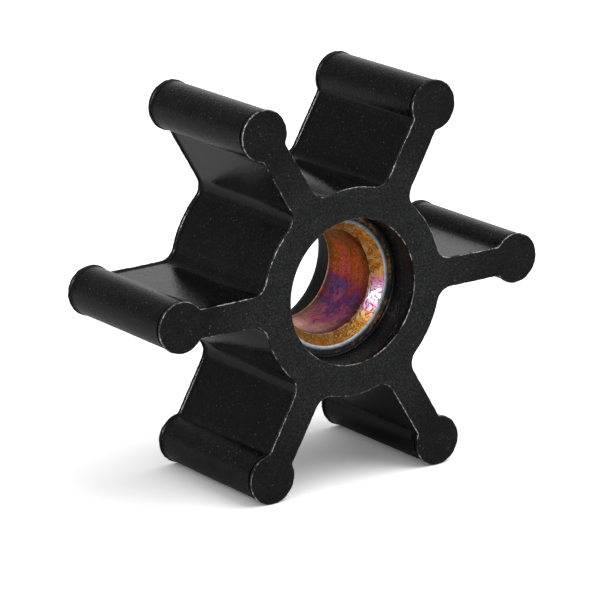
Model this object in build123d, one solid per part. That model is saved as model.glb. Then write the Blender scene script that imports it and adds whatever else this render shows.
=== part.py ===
from build123d import *
import os

# Rubber pump impeller: a moulded rubber star of straight vanes with round tips,
# bonded round a turned brass sleeve that slides on the pump's shaft.
# Millimetres. The shaft axis runs along Y, the front face looks to -Y and +Z is up.
# The origin is on the shaft axis, half way between the two faces.

# Rubber star
vane_count = 6
width = 19.0                 # front face to rear face
hub_radius = 11.8            # bare hub between two vanes
tip_centre_radius = 22.48    # shaft axis to the centre of a vane's round tip
tip_radius = 2.8             # round tip of a vane
vane_root_thickness = 3.4    # vane where its flanks would meet the shaft axis
vane_neck_thickness = 3.1    # vane at the centre of its round tip
root_fillet = 2.0            # hub to vane
neck_fillet = 0.5            # vane to round tip

# Mould rim: a thin band round both faces that stands a little proud of the sides
rim_height = 0.12
rim_width = 0.45
face_edge_break = 0.12       # worn outer edge of each face

# Brass sleeve
bore_radius = 6.0
sleeve_wall = 1.6
land_width = 0.55            # flat ring left at the sleeve's end, outside the cone of its mouth
lead_in_depth = 1.5          # cone of each mouth, along the shaft
lip_radius = 1.0             # rounding where the cone runs into the bore

# Round recess in each face, down to the end of the sleeve
recess_depth = 4.0
ledge_width = 0.7            # rubber floor of the recess, round the sleeve
recess_floor_break = 0.2     # narrow cone between the floor and the wall
recess_mouth_break = 0.12

# Worked out from the sizes above
vane_pitch = 360 / vane_count
half_width = width / 2
sleeve_half_length = half_width - recess_depth
sleeve_radius = bore_radius + sleeve_wall
lead_in_radius = sleeve_radius - land_width
recess_radius = sleeve_radius + ledge_width


def vane_outline(grow):
    """One vane along +X: a stem that thins outwards and ends in a round tip."""
    root_half = vane_root_thickness / 2 + grow
    neck_half = vane_neck_thickness / 2 + grow
    stem = Polygon(
        (0, -root_half),
        (tip_centre_radius, -neck_half),
        (tip_centre_radius, neck_half),
        (0, root_half),
        align=None,
    )
    return stem + Pos(tip_centre_radius, 0) * Circle(tip_radius + grow)


def star_outline(grow=0.0):
    """Hub and vanes as one flat outline, moved outwards by grow, with its corners filleted."""
    star = Sketch() + Circle(hub_radius + grow)
    for turn in range(vane_count):
        star += Rot(0, 0, turn * vane_pitch) * vane_outline(grow)
    inner_corners = star.vertices().filter_by(lambda v: Vector(v).length < tip_centre_radius)
    root_limit = (hub_radius + tip_centre_radius) / 2
    roots = inner_corners.filter_by(lambda v: Vector(v).length < root_limit)
    star = fillet(roots, root_fillet - grow)
    inner_corners = star.vertices().filter_by(lambda v: Vector(v).length < tip_centre_radius)
    necks = inner_corners.filter_by(lambda v: Vector(v).length > tip_centre_radius - tip_radius - grow)
    return fillet(necks, neck_fillet - grow)


def slab(outline, from_y, to_y):
    """An outline drawn in X and Z, made solid between two places along the shaft axis."""
    plane = Plane.XZ.offset(-from_y)
    return extrude(plane * outline, amount=from_y - to_y)


def shaft_cylinder(radius, from_y, to_y):
    return slab(Circle(radius), from_y, to_y)


def break_face_edges(body):
    """Take the sharp outer edge off the front and the rear face."""
    for end in (0, -1):
        face = body.faces().sort_by(Axis.Y)[end]
        body = chamfer(face.outer_wire().edges(), face_edge_break)
    return body


def recess(side):
    """Tool that cuts the round recess in the rear face (side 1) or the front face (side -1)."""
    floor_y = side * sleeve_half_length
    mouth_y = side * half_width
    cutter = shaft_cylinder(recess_radius, min(floor_y, mouth_y), max(floor_y, mouth_y))
    floor_edge = cutter.edges().filter_by(GeomType.CIRCLE).sort_by(Axis.Y)[0 if side > 0 else -1]
    return chamfer(floor_edge, recess_floor_break)


def make_rubber_body():
    body = slab(star_outline(), -half_width, half_width)
    rim = star_outline(rim_height)
    body += slab(rim, -half_width, -half_width + rim_width)
    body += slab(rim, half_width - rim_width, half_width)
    body = break_face_edges(body)
    body -= shaft_cylinder(sleeve_radius, -half_width, half_width)
    body -= recess(1)
    body -= recess(-1)
    mouths = body.edges().filter_by(GeomType.CIRCLE).filter_by(
        lambda e: abs(e.radius - recess_radius) < 1e-4 and abs(abs(e.center().Y) - half_width) < 1e-4
    )
    return chamfer(mouths, recess_mouth_break)


def make_brass_sleeve():
    """Turned sleeve with a cone in each mouth of its bore, flush with the recess floors."""
    quarter = Polyline(
        (bore_radius, 0),
        (bore_radius, sleeve_half_length - lead_in_depth),
        (lead_in_radius, sleeve_half_length),
        (sleeve_radius, sleeve_half_length),
        (sleeve_radius, 0),
        close=True,
    )
    half = make_face(quarter)
    section = half + mirror(half, about=Plane.XZ)
    sleeve = revolve(section, Axis.Y)
    lips = sleeve.edges().filter_by(GeomType.CIRCLE).filter_by(lambda e: abs(e.radius - bore_radius) < 1e-4)
    return fillet(lips, lip_radius)


os.makedirs("parts", exist_ok=True)
pieces = {
    "rubber_body": make_rubber_body(),
    "brass_sleeve": make_brass_sleeve(),
}
for name, piece in pieces.items():
    piece.label = name
    export_step(piece, f"parts/{name}.step")
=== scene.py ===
import math

import bpy
from mathutils import Matrix, Vector, noise
from mathutils.geometry import tessellate_polygon


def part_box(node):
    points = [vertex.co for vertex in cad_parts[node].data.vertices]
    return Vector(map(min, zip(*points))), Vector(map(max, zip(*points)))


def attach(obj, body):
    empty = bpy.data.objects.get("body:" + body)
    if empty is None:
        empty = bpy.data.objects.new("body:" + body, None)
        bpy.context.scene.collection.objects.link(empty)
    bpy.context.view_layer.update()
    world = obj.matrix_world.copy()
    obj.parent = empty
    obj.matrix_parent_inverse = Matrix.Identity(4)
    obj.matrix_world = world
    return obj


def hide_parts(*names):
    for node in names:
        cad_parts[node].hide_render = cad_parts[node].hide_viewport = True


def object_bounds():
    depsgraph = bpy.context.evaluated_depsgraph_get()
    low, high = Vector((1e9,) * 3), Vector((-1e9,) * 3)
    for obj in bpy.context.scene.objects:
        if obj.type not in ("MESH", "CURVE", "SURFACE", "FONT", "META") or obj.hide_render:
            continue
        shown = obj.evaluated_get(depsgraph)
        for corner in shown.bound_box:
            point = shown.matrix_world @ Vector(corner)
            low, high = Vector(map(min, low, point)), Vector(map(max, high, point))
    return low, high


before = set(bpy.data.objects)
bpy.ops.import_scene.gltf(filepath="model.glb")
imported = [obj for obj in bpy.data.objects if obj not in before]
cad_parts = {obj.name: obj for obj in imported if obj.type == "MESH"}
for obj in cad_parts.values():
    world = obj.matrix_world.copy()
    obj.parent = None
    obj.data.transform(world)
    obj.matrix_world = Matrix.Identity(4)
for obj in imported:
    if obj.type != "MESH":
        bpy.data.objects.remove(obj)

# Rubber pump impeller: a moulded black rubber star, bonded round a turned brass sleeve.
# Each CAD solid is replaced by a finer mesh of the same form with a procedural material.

CAD_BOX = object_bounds()
MM = 0.001

# Sizes of the part in millimetres, in the frame's axes: shaft along Y, front face to -Y
HALF_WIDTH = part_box("rubber_body")[1].y / MM
SLEEVE_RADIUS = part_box("brass_sleeve")[1].x / MM
SLEEVE_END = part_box("brass_sleeve")[1].y / MM
VANE_COUNT = 6
TIP_CIRCLE = 22.48           # shaft axis to the centre of a vane's round tip
TIP_RADIUS = 2.8
HUB_RADIUS = 11.8
ROOT_HALF = 1.7              # half of a vane's thickness, taken back to the shaft axis
NECK_HALF = 1.55             # half of a vane's thickness at the centre of its round tip
ROOT_FILLET = 2.0
NECK_FILLET = 0.5
RIM_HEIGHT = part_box("rubber_body")[1].x / MM - TIP_CIRCLE - TIP_RADIUS
RIM_WIDTH = 0.45
EDGE_ROUND = 0.12
BORE_RADIUS = 6.0
LAND_WIDTH = 0.55
LAND_RADIUS = SLEEVE_RADIUS - LAND_WIDTH
LEAD_IN_DEPTH = 1.5
LIP_RADIUS = 1.0
LEDGE_WIDTH = 0.7
RECESS_RADIUS = SLEEVE_RADIUS + LEDGE_WIDTH
RECESS_FLOOR_ROUND = 0.2

# Finish of the two pieces, in millimetres
GROOVE_WIDTH = 0.32
GROOVE_DEPTH = 0.30
GROOVE_FROM_RADIUS = 20.2    # the groove fades in from here outwards
GROOVE_FADE = 0.8
SIDE_WAVE = 0.035
WAVES_PER_MM = 0.22
EDGE_NIBBLE = 0.06
NIBBLES_PER_MM = 1.7
NIBBLE_SHIFT = Vector((7, 3, 1))
LAND_EDGE_ROUND = 0.11
SKIN_INSET = 0.001

# Fineness of the meshes: steps along the outline in millimetres, then counts
TIP_STEP = 0.16
NECK_STEP = 0.09
FLANK_STEP = 0.4
ROOT_STEP = 0.2
HUB_STEP = 0.3
SIDE_ROWS = 28
WALL_ROWS = 5
BORE_ROWS = 6
LIP_ROWS = 6
RECESS_SIDES = 264
SLEEVE_SIDES = 240
ROUND_ANGLES = [math.radians(a) for a in (0, 30, 60, 90)]
SHARP_ANGLE = math.radians(50)


# ---------------------------------------------------------------- star outline

def arc(centre, radius, start, end, step):
    """Points from one angle to another, both ends included."""
    count = max(2, math.ceil(abs(end - start) * radius / step))
    angles = [start + (end - start) * i / count for i in range(count + 1)]
    return [centre + radius * Vector((math.cos(a), math.sin(a))) for a in angles]


def fillet_centre(line_point, line_along, offset, circle_centre, distance, outwards):
    """Centre of a fillet, at an offset from a line and a distance from a circle's centre."""
    side = Vector((-line_along.y, line_along.x))
    start = line_point + side * offset - circle_centre
    along = start.dot(line_along)
    root = math.sqrt(along * along - start.dot(start) + distance * distance)
    return circle_centre + start + line_along * (-along + (root if outwards else -root))


def half_vane():
    """Outline from the middle of a vane's tip to the middle of the hub between two vanes."""
    origin = Vector((0.0, 0.0))
    tip = Vector((TIP_CIRCLE, 0.0))
    flank_start = Vector((0.0, ROOT_HALF))
    along = Vector((TIP_CIRCLE, NECK_HALF - ROOT_HALF)).normalized()
    inward = Vector((along.y, -along.x))
    flank_angle = math.atan2(inward.y, inward.x)
    neck = fillet_centre(flank_start, along, NECK_FILLET, tip, TIP_RADIUS + NECK_FILLET, False)
    root = fillet_centre(flank_start, along, ROOT_FILLET, origin, HUB_RADIUS + ROOT_FILLET, True)
    to_neck = neck - tip
    to_tip = math.atan2(-to_neck.y, -to_neck.x) + 2 * math.pi
    to_hub = math.atan2(-root.y, -root.x)

    points = arc(tip, TIP_RADIUS, 0.0, math.atan2(to_neck.y, to_neck.x), TIP_STEP)
    points += arc(neck, NECK_FILLET, to_tip, flank_angle + 2 * math.pi, NECK_STEP)[1:]
    gap = root + inward * ROOT_FILLET - points[-1]
    steps = math.ceil(gap.length / FLANK_STEP)
    points += [points[-1] + gap * (i / steps) for i in range(1, steps)]
    points += arc(root, ROOT_FILLET, flank_angle, to_hub, ROOT_STEP)
    hub_start = math.atan2(root.y, root.x)
    points += arc(origin, HUB_RADIUS, hub_start, math.pi / VANE_COUNT, HUB_STEP)[1:]
    return points


def star_outline():
    """The whole closed outline, anticlockwise, as points and their outward normals."""
    upper = half_vane()
    lower = [Vector((p.x, -p.y)) for p in reversed(upper)]
    sector = lower + upper[1:-1]
    points = []
    for turn in range(VANE_COUNT):
        angle = turn * 2 * math.pi / VANE_COUNT
        rotation = Matrix.Rotation(angle, 2)
        points += [rotation @ p for p in sector]
    normals = []
    for i, point in enumerate(points):
        chord = points[(i + 1) % len(points)] - points[i - 1]
        normals.append(Vector((chord.y, -chord.x)).normalized())
    return points, normals


# ---------------------------------------------------------------- mesh helpers

def smooth01(value, low, high):
    """0 below low, 1 above high, with a soft step between."""
    t = min(1.0, max(0.0, (value - low) / (high - low)))
    return t * t * (3 - 2 * t)


def rounding(radius):
    """Points of a rounded edge, from one face to the other, as distances in from both faces."""
    return [(radius * (1 - math.cos(a)), radius * (1 - math.sin(a))) for a in ROUND_ANGLES]


def ring(radius, depth, sides):
    """A circle of vertices round the shaft axis, in metres."""
    angles = [2 * math.pi * i / sides for i in range(sides)]
    return [Vector((radius * math.cos(a), depth, radius * math.sin(a))) * MM for a in angles]


def band(first, second, sides):
    """Quads between two rings of vertices, given by the number of each ring's first vertex."""
    pairs = [(i, (i + 1) % sides) for i in range(sides)]
    return [(first + i, second + i, second + j, first + j) for i, j in pairs]


def reversed_band(first, second, sides):
    """The same quads, facing the other way."""
    pairs = [(i, (i + 1) % sides) for i in range(sides)]
    return [(first + i, first + j, second + j, second + i) for i, j in pairs]


def make_piece(name, vertices, faces, material, replaced_node):
    """A mesh in the place of one CAD node, on the part's one body."""
    mesh = bpy.data.meshes.new(name)
    mesh.from_pydata(vertices, [], faces)
    mesh.validate()
    mesh.shade_smooth()
    mesh.set_sharp_from_angle(angle=SHARP_ANGLE)
    mesh.materials.append(material)
    piece = bpy.data.objects.new(name, mesh)
    bpy.context.scene.collection.objects.link(piece)
    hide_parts(replaced_node)
    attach(piece, "root")
    return piece


# ---------------------------------------------------------------- rubber star

def side_profile():
    """Depth, outward offset and share of the groove, from the front face to the rear face.

    The rim stands out beside both faces; the groove lies behind the front one.
    """
    rim_end = HALF_WIDTH - RIM_WIDTH
    rim = [(HALF_WIDTH - down, RIM_HEIGHT - inward, 0.0) for down, inward in rounding(EDGE_ROUND)]
    rim.append((rim_end + 0.2, RIM_HEIGHT, 0.0))
    groove_end = rim_end - GROOVE_WIDTH
    front = rim + [
        (rim_end + 0.1, RIM_HEIGHT * 0.75, 0.0),
        (rim_end + 0.03, RIM_HEIGHT * 0.3, 0.0),
        (rim_end, 0.0, 0.5),
        (rim_end - 0.03, 0.0, 1.0),
        (groove_end, 0.0, 1.0),
        (groove_end - 0.02, 0.0, 0.2),
        (groove_end - 0.07, 0.0, 0.0),
    ]
    rear = rim + [
        (rim_end + 0.06, RIM_HEIGHT * 0.9, 0.0),
        (rim_end, RIM_HEIGHT * 0.3, 0.0),
        (rim_end - 0.06, 0.0, 0.0),
    ]
    front = [(-depth, offset, groove) for depth, offset, groove in front]
    start, end = front[-1][0], rear[-1][0]
    middle = [(start + (end - start) * i / SIDE_ROWS, 0.0, 0.0) for i in range(1, SIDE_ROWS)]
    return front + middle + list(reversed(rear))


def side_row(outline, normals, depth, offset, groove):
    """One row of vertices round the star: grooved at the tips, uneven, nibbled at the edges."""
    near_edge = smooth01(abs(depth), HALF_WIDTH - RIM_WIDTH, HALF_WIDTH - EDGE_ROUND)
    row = []
    for point, normal in zip(outline, normals):
        place = Vector((point.x, depth, point.y))
        at_tip = smooth01(point.length, GROOVE_FROM_RADIUS, GROOVE_FROM_RADIUS + GROOVE_FADE)
        grooved = groove * at_tip
        wave = SIDE_WAVE * (0.5 + 0.5 * noise.noise(place * WAVES_PER_MM))
        bite = max(0.0, noise.noise(place * NIBBLES_PER_MM + NIBBLE_SHIFT))
        nibble = EDGE_NIBBLE * near_edge * bite ** 0.5
        moved = offset - SKIN_INSET - GROOVE_DEPTH * grooved - wave * (1 - near_edge) - nibble
        flat = point + normal * moved
        row.append(Vector((flat.x, depth, flat.y)) * MM)
    return row


def hole_profile():
    """Radius and depth from the front recess's mouth, past the sleeve, to the rear one's."""
    mouth = [(RECESS_RADIUS + out, HALF_WIDTH - down) for down, out in rounding(EDGE_ROUND)]
    floor = [(RECESS_RADIUS - out, SLEEVE_END + up) for out, up in rounding(RECESS_FLOOR_ROUND)]
    top, bottom = mouth[-1][1], floor[0][1]
    wall = [(RECESS_RADIUS, top + (bottom - top) * i / WALL_ROWS) for i in range(1, WALL_ROWS)]
    recess = mouth + wall + floor + [(SLEEVE_RADIUS, SLEEVE_END)]
    return [(r, -y) for r, y in recess] + [(r, y) for r, y in reversed(recess)]


def flat_face(vertices, outer_loop, inner_loop, towards_front):
    """Triangles between the star's outline and the recess mouth, in one flat face."""
    flat_loops = [
        [Vector((vertices[i].x, vertices[i].z, 0.0)) for i in loop]
        for loop in (outer_loop, inner_loop)
    ]
    order = outer_loop + inner_loop
    triangles = []
    for triangle in tessellate_polygon(flat_loops):
        corners = [order[i] for i in triangle]
        a, b, c = (vertices[i] for i in corners)
        faces_front = (b - a).cross(c - a).y < 0
        triangles.append(tuple(corners if faces_front == towards_front else reversed(corners)))
    return triangles


def rubber_mesh():
    """Vertices and faces of the star: its sides, then its hole, then the two flat faces."""
    outline, normals = star_outline()
    sides = len(outline)
    vertices = []
    faces = []
    profile = side_profile()
    for depth, offset, groove in profile:
        vertices += side_row(outline, normals, depth, offset, groove)
    for row in range(len(profile) - 1):
        faces += reversed_band(row * sides, (row + 1) * sides, sides)
    last_row = (len(profile) - 1) * sides

    first_ring = len(vertices)
    hole = hole_profile()
    for radius, depth in hole:
        vertices += ring(radius, depth, RECESS_SIDES)
    for row in range(len(hole) - 1):
        start = first_ring + row * RECESS_SIDES
        faces += band(start, start + RECESS_SIDES, RECESS_SIDES)
    last_ring = first_ring + (len(hole) - 1) * RECESS_SIDES

    for outer, inner, towards_front in ((0, first_ring, True), (last_row, last_ring, False)):
        outer_loop = list(range(outer, outer + sides))
        inner_loop = list(range(inner, inner + RECESS_SIDES))
        faces += flat_face(vertices, outer_loop, inner_loop, towards_front)
    return vertices, faces


def edges_of_faces(mesh, corners):
    """Edges of all the faces that have this many corners."""
    chosen = [face for face in mesh.polygons if len(face.vertices) == corners]
    return {key for face in chosen for key in face.edge_keys}


def make_rubber():
    vertices, faces = rubber_mesh()
    piece = make_piece("moulded_body", vertices, faces, rubber_material(), "rubber_body")
    # only the flat faces are triangles, and they keep a flat shade up to their rounded edges
    border = edges_of_faces(piece.data, 3) & edges_of_faces(piece.data, 4)
    for edge in piece.data.edges:
        if edge.key in border:
            edge.use_edge_sharp = True
    return piece


# ---------------------------------------------------------------- brass sleeve

def sleeve_profile():
    """Radius and depth of the rear half's section: bore, lip, cone and land, to the outside."""
    slope = math.atan2(LAND_RADIUS - BORE_RADIUS, LEAD_IN_DEPTH)
    cone_start = SLEEVE_END - LEAD_IN_DEPTH
    lip_start = cone_start - LIP_RADIUS * math.tan(slope / 2)
    bore = [(BORE_RADIUS, cone_start * i / BORE_ROWS) for i in range(BORE_ROWS)]
    turns = [slope * i / LIP_ROWS for i in range(LIP_ROWS + 1)]
    lip = [
        (BORE_RADIUS + LIP_RADIUS * (1 - math.cos(a)), lip_start + LIP_RADIUS * math.sin(a))
        for a in turns
    ]
    edge = LAND_EDGE_ROUND
    to_cone = Vector((math.sin(slope), math.cos(slope)))
    cone_end = Vector((LAND_RADIUS, SLEEVE_END)) - edge * to_cone
    cone = [tuple(Vector(lip[-1]).lerp(cone_end, t)) for t in (0.25, 0.5, 0.75, 1.0)]
    # the land is slightly domed and rolls over at both edges
    land = [
        (LAND_RADIUS + edge * 0.1, SLEEVE_END - edge * 0.8),
        (LAND_RADIUS + edge * 0.8, SLEEVE_END - edge * 0.35),
        (LAND_RADIUS + edge * 1.9, SLEEVE_END - edge * 0.08),
        (LAND_RADIUS + edge * 3.0, SLEEVE_END),
        (SLEEVE_RADIUS - edge * 1.6, SLEEVE_END - edge * 0.08),
        (SLEEVE_RADIUS - edge * 0.5, SLEEVE_END - edge * 0.5),
        (SLEEVE_RADIUS, SLEEVE_END - edge * 1.2),
    ]
    return bore + lip + cone + land


def make_sleeve():
    """The turned sleeve as a closed ring of quads."""
    half = sleeve_profile()
    profile = [(r, -y) for r, y in reversed(half)] + half[1:]
    vertices = []
    faces = []
    for row, (radius, depth) in enumerate(profile):
        vertices += ring(radius, depth, SLEEVE_SIDES)
        following = (row + 1) % len(profile)
        faces += band(row * SLEEVE_SIDES, following * SLEEVE_SIDES, SLEEVE_SIDES)
    return make_piece("turned_sleeve", vertices, faces, brass_material(), "brass_sleeve")


# ---------------------------------------------------------------- node helpers

class Nodes:
    """Short calls for building one node tree."""

    def __init__(self, tree):
        self.tree = tree

    def new(self, kind):
        return self.tree.nodes.new(kind)

    def link(self, source, target):
        """Give a socket a plain value, or link it to another node's output."""
        if isinstance(source, (int, float, tuple)):
            target.default_value = source
        else:
            self.tree.links.new(source, target)

    def math(self, operation, a, b=0.0, clamp=False):
        node = self.new("ShaderNodeMath")
        node.operation = operation
        node.use_clamp = clamp
        self.link(a, node.inputs[0])
        self.link(b, node.inputs[1])
        return node.outputs[0]

    def add(self, a, b, clamp=False):
        return self.math("ADD", a, b, clamp)

    def times(self, a, b):
        return self.math("MULTIPLY", a, b)

    def larger(self, a, b):
        return self.math("MAXIMUM", a, b)

    def inverse(self, a):
        return self.math("SUBTRACT", 1.0, a)

    def centred(self, a, amount):
        """A noise around 0.5 turned into one around 0."""
        return self.times(self.math("SUBTRACT", a, 0.5), amount)

    def smooth(self, value, low, high):
        """0 below low, 1 above high, with a soft step between."""
        node = self.new("ShaderNodeMapRange")
        node.interpolation_type = "SMOOTHSTEP"
        self.link(value, node.inputs["Value"])
        self.link(low, node.inputs["From Min"])
        self.link(high, node.inputs["From Max"])
        return node.outputs["Result"]

    def scale(self, value, low, high):
        """A value from 0 to 1, spread from low to high."""
        node = self.new("ShaderNodeMapRange")
        self.link(value, node.inputs["Value"])
        self.link(low, node.inputs["To Min"])
        self.link(high, node.inputs["To Max"])
        return node.outputs["Result"]

    def mix(self, factor, a, b):
        """Colour a at factor 0, colour b at factor 1."""
        node = self.new("ShaderNodeMix")
        node.data_type = "RGBA"
        self.link(factor, node.inputs[0])
        self.link(a, node.inputs[6])
        self.link(b, node.inputs[7])
        return node.outputs[2]

    def ramp(self, factor, stops):
        node = self.new("ShaderNodeValToRGB")
        elements = node.color_ramp.elements
        while len(elements) < len(stops):
            elements.new(0.5)
        for element, (place, colour) in zip(elements, stops):
            element.position = place
            element.color = colour
        self.link(factor, node.inputs[0])
        return node.outputs[0]

    def split(self, vector):
        node = self.new("ShaderNodeSeparateXYZ")
        self.link(vector, node.inputs[0])
        return node.outputs


class Surface(Nodes):
    """Nodes of a material that is laid out by the place on the part, in millimetres."""

    def __init__(self, tree):
        super().__init__(tree)
        to_mm = self.new("ShaderNodeVectorMath")
        to_mm.operation = "MULTIPLY"
        self.link(self.new("ShaderNodeTexCoord").outputs["Object"], to_mm.inputs[0])
        self.link((1 / MM, 1 / MM, 1 / MM), to_mm.inputs[1])
        self.place = to_mm.outputs[0]
        self.x, y, self.z = self.split(self.place)
        self.depth = self.math("ABSOLUTE", y)
        squares = self.add(self.times(self.x, self.x), self.times(self.z, self.z))
        self.axis_distance = self.math("SQRT", squares)

    def noise(self, per_mm, detail, roughness=0.55, distortion=0.0):
        node = self.new("ShaderNodeTexNoise")
        self.link(self.place, node.inputs["Vector"])
        node.inputs["Scale"].default_value = per_mm
        node.inputs["Detail"].default_value = detail
        node.inputs["Roughness"].default_value = roughness
        node.inputs["Distortion"].default_value = distortion
        return node.outputs["Fac"]

    def specks(self, per_mm, size, empty):
        """Soft dots, one to a cell of a Voronoi pattern; size is a dot's radius in cells.

        A share of the cells stays empty.
        """
        cell = self.new("ShaderNodeTexVoronoi")
        self.link(self.place, cell.inputs["Vector"])
        cell.inputs["Scale"].default_value = per_mm
        core = size * 0.4
        dot = self.inverse(self.smooth(cell.outputs["Distance"], core, size))
        chosen = self.math("GREATER_THAN", self.split(cell.outputs["Color"])[0], empty)
        return self.times(dot, chosen)

    def shader(self, height, bump_strength, **sockets):
        """The material's one shader: a bump from a height, and sockets by name, _ for a space."""
        bump = self.new("ShaderNodeBump")
        bump.inputs["Strength"].default_value = bump_strength
        bump.inputs["Distance"].default_value = BUMP_DISTANCE * MM
        self.link(height, bump.inputs["Height"])
        node = self.new("ShaderNodeBsdfPrincipled")
        self.link(bump.outputs["Normal"], node.inputs["Normal"])
        for name, value in sockets.items():
            self.link(value, node.inputs[name.replace("_", " ")])
        output = self.new("ShaderNodeOutputMaterial")
        self.link(node.outputs[0], output.inputs["Surface"])


def empty_material(name):
    material = bpy.data.materials.new(name)
    material.use_nodes = True
    material.node_tree.nodes.clear()
    return material


def rgb(red, green, blue):
    return (red, green, blue, 1.0)


def grey(value):
    return rgb(value, value, value)


# ---------------------------------------------------------------- rubber material

BUMP_DISTANCE = 0.05         # in millimetres, for both materials

# Tones are shares of white, and radii are in millimetres
SIDE_TONE = 0.0012
SIDE_GRAIN_TONE = 0.018      # added on the coarsest grains of the sides
VANE_FACE_TONE = 0.0045
HUB_FACE_TONE = 0.012        # the hub's faces are the dustiest
HUB_TONE_TO_RADIUS = 12.5    # from here the tone falls to that of the vanes
VANE_TONE_FROM_RADIUS = 19.5
RED_SHARE = 0.97
BLUE_SHARE = 1.04
TIP_FROM_RADIUS = 19.2
HALF_MATT = 0.45             # tips and recesses, against 1 on the flat faces
RUBBER_SPECULAR = 0.19

# painted sheen: a bluish grey on the recess ledges beside the sleeve
LEDGE_SHEEN_COLOUR = rgb(0.03, 0.037, 0.043)
STAIN_COLOUR = rgb(0.30, 0.13, 0.025)
DUST_COLOUR = grey(0.5)
# pale worn skin along the face edges, which also serves as their painted highlight
WORN_AND_GLINT_COLOUR = grey(0.6)


def on_flat_faces(n):
    """1 on the two flat faces of the moulding, 0 on the rest of it."""
    normal = n.new("ShaderNodeNewGeometry").outputs["True Normal"]
    along_shaft = n.math("ABSOLUTE", n.split(normal)[1])
    at_end = n.smooth(n.depth, HALF_WIDTH - 0.02, HALF_WIDTH - 0.01)
    return n.times(n.smooth(along_shaft, 0.9, 0.99), at_end)


def how_matt(n, on_face):
    """1 on the flat faces, less on the tips, which the housing rubs, and in the recesses."""
    on_tip = n.smooth(n.axis_distance, TIP_FROM_RADIUS, TIP_FROM_RADIUS + 0.8)
    past_recess = n.smooth(n.axis_distance, RECESS_RADIUS + 0.05, RECESS_RADIUS + 0.1)
    half_matt = n.larger(on_tip, n.inverse(past_recess))
    return n.larger(on_face, n.times(half_matt, HALF_MATT))


def worn_and_glinting_edges(n, on_face):
    """The worn skin along the edge of each face, broken up by noise; its pale line is also a
    painted highlight on the edges.
    """
    at_rim = n.smooth(n.depth, HALF_WIDTH - 0.12, HALF_WIDTH - 0.05)
    broken = n.smooth(n.noise(0.6, detail=6.0, roughness=0.75), 0.42, 0.60)
    fine_break = n.smooth(n.noise(3.0, detail=4.0, roughness=0.7), 0.36, 0.62)
    kept = n.times(broken, n.scale(fine_break, 0.1, 1.0))
    return n.times(n.times(at_rim, n.inverse(on_face)), kept)


def recess_ledge(n):
    """The floor of each recess, beside the sleeve."""
    past_sleeve = n.smooth(n.axis_distance, SLEEVE_RADIUS + 0.3, SLEEVE_RADIUS + 0.5)
    above_floor = n.smooth(n.depth, SLEEVE_END + 0.05, SLEEVE_END + 0.2)
    return n.times(n.inverse(past_sleeve), n.inverse(above_floor))


def rust_stains(n, ledge):
    """Fine stains on the ledge, in patches."""
    patches = n.smooth(n.noise(0.35, detail=2.0), 0.42, 0.6)
    fine = n.smooth(n.noise(2.0, detail=4.0, roughness=0.75), 0.46, 0.56)
    return n.times(n.times(ledge, patches), fine)


def rubber_dust(n, mottling, patches):
    """Scattered dots of dust, thicker in patches, and a closer dust that follows the mottling."""
    wide = n.specks(per_mm=0.8, size=0.085, empty=0.55)
    narrow = n.specks(per_mm=1.7, size=0.17, empty=0.55)
    dots = n.times(n.larger(wide, narrow), n.scale(n.smooth(patches, 0.45, 0.6), 0.15, 1.0))
    close = n.specks(per_mm=3.4, size=0.34, empty=0.5)
    close = n.times(close, n.scale(n.smooth(mottling, 0.4, 0.6), 0.3, 1.0))
    return dots, close


def rubber_tone(n, on_face, grain, mottling):
    """How light the bare rubber is, from the grain and the mottling."""
    past_hub = n.smooth(n.axis_distance, HUB_TONE_TO_RADIUS, VANE_TONE_FROM_RADIUS)
    on_hub = n.inverse(past_hub)
    mottled = n.smooth(mottling, 0.3, 0.7)
    face = n.times(n.scale(on_hub, VANE_FACE_TONE, HUB_FACE_TONE), n.scale(mottled, 0.8, 1.2))
    face = n.times(face, n.scale(n.smooth(grain, 0.36, 0.64), 0.2, 1.8))
    side = n.add(SIDE_TONE, n.times(n.smooth(grain, 0.56, 0.74), SIDE_GRAIN_TONE))
    side = n.times(side, n.scale(mottled, 0.6, 1.4))
    return n.add(n.times(face, on_face), n.times(side, n.inverse(on_face)))


def bluish(n, tone):
    """A grey tone as a colour that leans slightly to blue."""
    colour = n.new("ShaderNodeCombineColor")
    n.link(n.times(tone, RED_SHARE), colour.inputs[0])
    n.link(tone, colour.inputs[1])
    n.link(n.times(tone, BLUE_SHARE), colour.inputs[2])
    return colour.outputs[0]


def rubber_roughness(n, matt, grain, mottling, dust):
    roughness = n.add(n.scale(mottling, 0.04, 0.16), n.times(matt, 0.3))
    roughness = n.add(roughness, n.centred(grain, 0.2))
    return n.add(roughness, n.times(dust, 0.3), clamp=True)


def rubber_height(n, matt, grain, patches, dust):
    """Height for the bump; grain and patches have half their height on the glossy sides."""
    height = n.add(n.times(grain, 0.9), n.times(patches, 0.4))
    height = n.times(height, n.scale(n.smooth(matt, 0.0, 0.4), 0.5, 1.0))
    return n.add(height, n.times(dust, 0.6))


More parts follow.
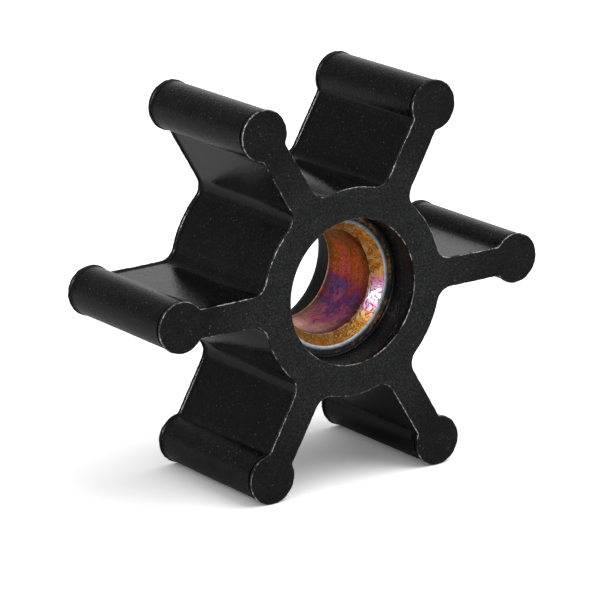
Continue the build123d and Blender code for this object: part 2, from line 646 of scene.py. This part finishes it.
def rubber_material():
    """Satin black moulded rubber: fine grain, soft mottling, pale dust, worn edges that also
    carry a painted highlight, and a painted sheen on the ledges.
    """
    material = empty_material("moulded_rubber")
    n = Surface(material.node_tree)
    on_face = on_flat_faces(n)
    matt = how_matt(n, on_face)
    ledge = recess_ledge(n)
    grain = n.noise(4.2, detail=2.0, roughness=0.8)
    mottling = n.noise(0.5, detail=6.0, roughness=0.62, distortion=0.4)
    patches = n.noise(1.4, detail=4.0, roughness=0.65)
    dust, close_dust = rubber_dust(n, mottling, patches)

    colour = bluish(n, rubber_tone(n, on_face, grain, mottling))
    # painted bluish sheen on the recess ledges
    colour = n.mix(n.times(ledge, 0.6), colour, LEDGE_SHEEN_COLOUR)
    colour = n.mix(n.times(rust_stains(n, ledge), 0.8), colour, STAIN_COLOUR)
    colour = n.mix(n.times(close_dust, n.scale(on_face, 0.008, 0.04)), colour, DUST_COLOUR)
    colour = n.mix(n.times(dust, n.scale(matt, 0.1, 0.18)), colour, DUST_COLOUR)
    # worn skin and a painted highlight along the face edges
    colour = n.mix(n.times(worn_and_glinting_edges(n, on_face), 0.85), colour, WORN_AND_GLINT_COLOUR)
    n.shader(
        height=rubber_height(n, matt, grain, patches, dust),
        bump_strength=1.0,
        Base_Color=colour,
        Roughness=rubber_roughness(n, matt, grain, mottling, dust),
        Specular_IOR_Level=RUBBER_SPECULAR,
    )
    return material


# ---------------------------------------------------------------- brass material

# Heat tint of the bore, from brown and orange at the top through violet to pink at the bottom
BORE_TINTS = (
    (0.0, rgb(0.24, 0.07, 0.002)),
    (0.2, rgb(0.34, 0.085, 0.003)),
    (0.38, rgb(0.74, 0.14, 0.012)),
    (0.52, rgb(0.68, 0.09, 0.17)),
    (0.64, rgb(0.32, 0.07, 0.38)),
    (0.71, rgb(0.14, 0.14, 0.40)),
    (0.80, rgb(0.72, 0.13, 0.42)),
    (0.91, rgb(0.80, 0.30, 0.42)),
    (1.0, rgb(0.95, 0.46, 0.50)),
)
TINT_IN_MIDDLE = 0.49        # place on that scale at the height of the shaft axis
TINT_PER_Z = -0.08           # per millimetre upwards
TINT_PER_X = -0.02           # per millimetre to the right
BORE_SPOTS = rgb(0.42, 0.27, 0.09)
# painted highlight: pale pink white low on the left of the bore
BORE_LOW_HIGHLIGHT = rgb(1.0, 0.84, 0.83)
# painted shade: dark brown in the bore beside the lips
BORE_SHADE_NEAR_LIP = rgb(0.10, 0.035, 0.006)
CONE_TINTS = (
    (0.26, rgb(0.20, 0.06, 0.008)),
    (0.38, rgb(0.88, 0.25, 0.02)),
    (0.50, rgb(1.0, 0.43, 0.04)),
    (0.68, rgb(1.0, 0.76, 0.32)),
)
CONE_BROWN = rgb(0.20, 0.085, 0.012)
# painted highlight on the right of the cone: a pink fringe round a white core
HIGHLIGHT_FRINGE = rgb(1.0, 0.30, 0.62)
HIGHLIGHT_CORE = rgb(1.0, 0.82, 1.0)
HIGHLIGHT_Z = -2.3                 # height of the painted highlight on the right of the cone
LAND_TINTS = ((0.3, rgb(0.34, 0.42, 0.50)), (0.6, rgb(0.70, 0.78, 0.85)))
# painted shade: dark grey over the top of the land
LAND_SHADE_TOP = rgb(0.12, 0.13, 0.14)
# bare brass for the bright scratches, and for the lip, where it is also a painted highlight
BARE_BRASS_AND_GLINT = rgb(1.0, 0.72, 0.36)
SCRATCH_COLOUR = rgb(0.15, 0.055, 0.01)
GRIT_COLOUR = rgb(0.95, 0.85, 0.7)
BRASS_SPECULAR_TINT = rgb(0.9, 0.52, 0.3)


def bore_colour(n, clouds, fine, speckle):
    """Heat tint by height and noise, a painted pale highlight at the lowest left, and painted
    brown shade beside the lips.
    """
    drift = n.add(n.times(n.z, TINT_PER_Z), n.times(n.x, TINT_PER_X))
    tint = n.add(drift, TINT_IN_MIDDLE)
    tint = n.add(tint, n.centred(clouds, 1.2))
    tint = n.add(tint, n.centred(fine, 0.55))
    tint = n.add(tint, n.centred(speckle, 0.25), clamp=True)
    colour = n.ramp(tint, BORE_TINTS)
    spots = n.smooth(n.noise(0.8, detail=4.0, roughness=0.6), 0.62, 0.7)
    colour = n.mix(n.times(spots, 0.55), colour, BORE_SPOTS)
    # painted highlight low on the left of the bore
    low_left = n.add(n.times(n.z, -1.0), n.times(n.x, -0.35))
    bottom = n.smooth(n.add(low_left, n.centred(fine, 2.4)), 5.2, 6.6)
    colour = n.mix(n.times(bottom, 0.9), colour, BORE_LOW_HIGHLIGHT)
    # painted shade: the bore turns dark brown beside the lips
    cone_start = SLEEVE_END - LEAD_IN_DEPTH
    near_lip = n.smooth(n.depth, cone_start - 1.6, cone_start - 0.5)
    return n.mix(n.times(near_lip, 0.6), colour, BORE_SHADE_NEAR_LIP)


def cone_colour(n, clouds, fine, speckle):
    """Mottled orange, brown on the left, with a painted pink and white highlight on the right."""
    mottle = n.add(n.times(fine, 0.75), n.times(speckle, 0.25))
    colour = n.ramp(n.add(n.centred(mottle, 2.0), 0.5), CONE_TINTS)
    brown = n.inverse(n.smooth(n.add(n.x, n.centred(clouds, 8.0)), 0.0, 4.5))
    colour = n.mix(n.times(brown, 0.5), colour, CONE_BROWN)
    # painted highlight on the right: a pink fringe round a white core
    from_highlight = n.add(n.math("ABSOLUTE", n.add(n.z, -HIGHLIGHT_Z)), n.centred(fine, 2.5))
    to_right = n.smooth(n.x, 2.0, 5.0)
    fringe = n.times(n.inverse(n.smooth(from_highlight, 1.2, 2.6)), to_right)
    colour = n.mix(fringe, colour, HIGHLIGHT_FRINGE)
    core = n.times(n.inverse(n.smooth(from_highlight, 0.2, 1.5)), to_right)
    return n.mix(core, colour, HIGHLIGHT_CORE)


def land_colour(n, fine):
    """Pale rubbed metal, with painted shade at the top of the ring."""
    colour = n.ramp(fine, LAND_TINTS)
    # painted shade over the top of the ring
    return n.mix(n.times(n.smooth(n.z, 1.0, 5.0), 0.6), colour, LAND_SHADE_TOP)


def contour_lines(n, phase, core, edge):
    """Curly lines along the contours of a noise, from a phase in radians."""
    wave = n.math("ABSOLUTE", n.math("SINE", phase))
    return n.inverse(n.smooth(wave, core, edge))


def scratches(n, fine, speckle):
    """Dark scratches and finer bright ones, both along the contours of one noise."""
    swirl = n.noise(0.75, detail=2.0, roughness=0.55, distortion=1.6)
    dark = contour_lines(n, n.times(swirl, 14.0), 0.22, 0.6)
    dark = n.times(dark, n.smooth(fine, 0.36, 0.5))
    bright = contour_lines(n, n.add(n.times(swirl, 18.0), 1.2), 0.12, 0.45)
    bright = n.times(bright, n.smooth(speckle, 0.44, 0.56))
    return dark, bright


def bright_lip(n, past_lip, fine):
    """The thin bright line, broken by noise, where the bore runs into the cone: rubbed brass with
    a painted highlight.
    """
    past_bore = n.smooth(n.axis_distance, BORE_RADIUS + 0.02, BORE_RADIUS + 0.05)
    line = n.times(past_bore, n.inverse(past_lip))
    return n.times(line, n.scale(n.smooth(fine, 0.42, 0.56), 0.15, 1.0))


def brass_material():
    """Heat-tarnished brass: orange to violet in the bore, scratched orange cones, pale rims;
    painted highlights on the cone, the lip and low in the bore, painted shade on the land's top
    and beside the lips.
    """
    material = empty_material("tarnished_brass")
    n = Surface(material.node_tree)
    clouds = n.noise(0.3, detail=6.0, roughness=0.65, distortion=0.6)
    fine = n.noise(1.3, detail=6.0, roughness=0.72, distortion=0.6)
    speckle = n.noise(5.0, detail=4.0, roughness=0.75)

    past_lip = n.smooth(n.axis_distance, BORE_RADIUS + 0.08, BORE_RADIUS + 0.14)
    on_land = n.smooth(n.axis_distance, LAND_RADIUS - 0.01, LAND_RADIUS + 0.03)
    on_cone = n.times(past_lip, n.inverse(on_land))
    on_lip = bright_lip(n, past_lip, fine)
    dark, bright = scratches(n, fine, speckle)
    dark = n.times(dark, n.inverse(on_land))
    grit = n.larger(
        n.specks(per_mm=1.6, size=0.17, empty=0.45),
        n.specks(per_mm=3.0, size=0.24, empty=0.5),
    )

    bore = bore_colour(n, clouds, fine, speckle)
    colour = n.mix(past_lip, bore, cone_colour(n, clouds, fine, speckle))
    # the lip line: rubbed brass with a painted highlight
    colour = n.mix(on_lip, colour, BARE_BRASS_AND_GLINT)
    colour = n.mix(on_land, colour, land_colour(n, fine))
    colour = n.mix(n.times(n.times(bright, on_cone), 0.6), colour, BARE_BRASS_AND_GLINT)
    colour = n.mix(n.times(dark, n.scale(past_lip, 0.35, 0.75)), colour, SCRATCH_COLOUR)
    colour = n.mix(n.times(grit, n.scale(past_lip, 0.35, 0.9)), colour, GRIT_COLOUR)

    height = n.add(n.times(fine, 0.5), n.times(speckle, 0.5))
    n.shader(
        height=n.math("SUBTRACT", height, n.times(dark, 0.7)),
        bump_strength=0.9,
        Base_Color=colour,
        Metallic=n.math("SUBTRACT", n.scale(on_cone, 0.75, 0.6), n.times(on_lip, 0.4)),
        Roughness=n.add(n.scale(fine, 0.2, 0.42), n.times(dark, 0.15), clamp=True),
        Specular_Tint=BRASS_SPECULAR_TINT,
    )
    return material


# ---------------------------------------------------------------- floor and world

FLOOR_SIDE = 12.0            # in metres
FLOOR_TONE = 0.8
FLOOR_SEEN = 1.45            # tone for the camera, so that the floor comes out white
FLOOR_GLOW = 0.06
FLOOR_MIRRORED = 0.47
AMBIENT_STRENGTH = 0.7       # the world's plain light, for all but the gloss

# What the part mirrors, by direction: x to the right, y to the back, z up, each from -1 to 1
FRONT_STRENGTH = 0.55
FRONT_Y = (-0.6, -0.25)
BACKDROP_Y = (0.1, 0.6)
BACKDROP_LEFT = 0.27
BACKDROP_RIGHT = 0.9
LEFT_TO_RIGHT_X = (-0.35, 0.15)
BACKDROP_BAND = 0.18
BAND_BOTTOM_Z = (0.30, 0.48)
BAND_TOP_Z = (0.8, 0.95)


def floor_material():
    """White sweep that keeps the part's shadow; it is dimmer where the part mirrors it."""
    material = empty_material("white_sweep")
    n = Nodes(material.node_tree)
    path = n.new("ShaderNodeLightPath").outputs
    tone = n.add(FLOOR_TONE, n.times(path["Is Camera Ray"], FLOOR_SEEN - FLOOR_TONE))
    tone = n.add(tone, n.times(path["Is Glossy Ray"], FLOOR_MIRRORED - FLOOR_TONE))
    diffuse = n.new("ShaderNodeBsdfDiffuse")
    n.link(tone, diffuse.inputs["Color"])
    glow = n.new("ShaderNodeEmission")
    glow.inputs["Color"].default_value = grey(1.0)
    n.link(n.times(path["Is Camera Ray"], FLOOR_GLOW), glow.inputs["Strength"])
    both = n.new("ShaderNodeAddShader")
    n.link(diffuse.outputs[0], both.inputs[0])
    n.link(glow.outputs[0], both.inputs[1])
    output = n.new("ShaderNodeOutputMaterial")
    n.link(both.outputs[0], output.inputs["Surface"])
    return material


def make_floor():
    reach = FLOOR_SIDE / 2
    z = CAD_BOX[0].z
    corners = [(-reach, -reach, z), (reach, -reach, z), (reach, reach, z), (-reach, reach, z)]
    mesh = bpy.data.meshes.new("floor")
    mesh.from_pydata(corners, [], [(0, 1, 2, 3)])
    mesh.materials.append(floor_material())
    floor = bpy.data.objects.new("floor", mesh)
    bpy.context.scene.collection.objects.link(floor)


def mirrored_strength(n):
    """How bright each direction is for the part's gloss: a dark band high up behind, dim left."""
    direction = n.new("ShaderNodeTexCoord").outputs["Generated"]
    x, y, z = n.split(direction)
    behind = n.smooth(y, *BACKDROP_Y)
    low = n.scale(n.smooth(x, *LEFT_TO_RIGHT_X), BACKDROP_LEFT, BACKDROP_RIGHT)
    band_share = n.times(n.smooth(z, *BAND_BOTTOM_Z), n.inverse(n.smooth(z, *BAND_TOP_Z)))
    backdrop = n.add(n.times(band_share, BACKDROP_BAND), n.times(n.inverse(band_share), low))
    front = n.scale(n.smooth(y, *FRONT_Y), FRONT_STRENGTH, 1.0)
    return n.add(n.times(behind, backdrop), n.times(n.inverse(behind), front))


def make_world():
    """White for the camera, plain soft light for the rest, and a backdrop for the gloss."""
    world = bpy.data.worlds.new("studio")
    bpy.context.scene.world = world
    world.use_nodes = True
    n = Nodes(world.node_tree)
    path = n.new("ShaderNodeLightPath").outputs
    glossy = path["Is Glossy Ray"]
    ambient = n.times(n.inverse(glossy), AMBIENT_STRENGTH)
    strength = n.add(n.times(glossy, mirrored_strength(n)), ambient)
    clear = n.larger(path["Is Camera Ray"], path["Is Transmission Ray"])
    background = world.node_tree.nodes["Background"]
    background.inputs["Color"].default_value = grey(1.0)
    n.link(n.add(clear, n.times(n.inverse(clear), strength)), background.inputs["Strength"])


# ---------------------------------------------------------------- lamps and camera

# Lamps: the direction each one stands in, how wide it looks in degrees, and its strength
KEY = {"direction": (0.4, -0.4, 0.8), "spread_degrees": 60, "strength": 1.3}
LEFT_KICK = {"direction": (-0.81, -0.30, 0.50), "spread_degrees": 12, "strength": 1.9}

# Camera: where it stands round the part in degrees, how far off, and what it looks at.
# The camera was fitted to the vane tips in the photo, so its places are in tip circle radii.
AZIMUTH = -34.0
ELEVATION = 16.2
ROLL = -1.2
DISTANCE = 19.5 * TIP_CIRCLE * MM
TARGET = Vector((-0.318 * TIP_CIRCLE, -HALF_WIDTH, 0.0177 * TIP_CIRCLE)) * MM
LENS = 240.4
SENSOR_WIDTH = 36.0
CLIP_START = 0.01
CLIP_END = 20.0


def sun(name, direction, spread_degrees, strength, only=()):
    """A sun lamp; where pieces are named in only, it lights nothing else."""
    light = bpy.data.lights.new(name, "SUN")
    light.angle = math.radians(spread_degrees)
    light.energy = strength
    lamp = bpy.data.objects.new(name, light)
    lamp.rotation_euler = (-Vector(direction)).to_track_quat("-Z", "Y").to_euler()
    bpy.context.scene.collection.objects.link(lamp)
    if only:
        lit = bpy.data.collections.new(name + "_lights")
        for piece in only:
            lit.objects.link(piece)
        lamp.light_linking.receiver_collection = lit


def make_camera():
    azimuth, elevation, roll = (math.radians(v) for v in (AZIMUTH, ELEVATION, ROLL))
    back = Vector((
        math.sin(azimuth) * math.cos(elevation),
        -math.cos(azimuth) * math.cos(elevation),
        math.sin(elevation),
    ))
    level = (-back).cross(Vector((0, 0, 1))).normalized()
    upright = level.cross(-back)
    right = level * math.cos(roll) + upright * math.sin(roll)
    up = upright * math.cos(roll) - level * math.sin(roll)
    data = bpy.data.cameras.new("camera")
    data.lens = LENS
    data.sensor_width = SENSOR_WIDTH
    data.clip_start = CLIP_START
    data.clip_end = CLIP_END
    camera = bpy.data.objects.new("camera", data)
    turn = Matrix((right, up, back)).transposed().to_4x4()
    camera.matrix_world = Matrix.Translation(TARGET + back * DISTANCE) @ turn
    bpy.context.scene.collection.objects.link(camera)
    bpy.context.scene.camera = camera


body = make_rubber()
sleeve = make_sleeve()
make_floor()
make_world()
sun("key", **KEY)
sun("left_kick", **LEFT_KICK, only=(body, sleeve))
make_camera()

view = bpy.context.scene.view_settings
view.view_transform = "Standard"
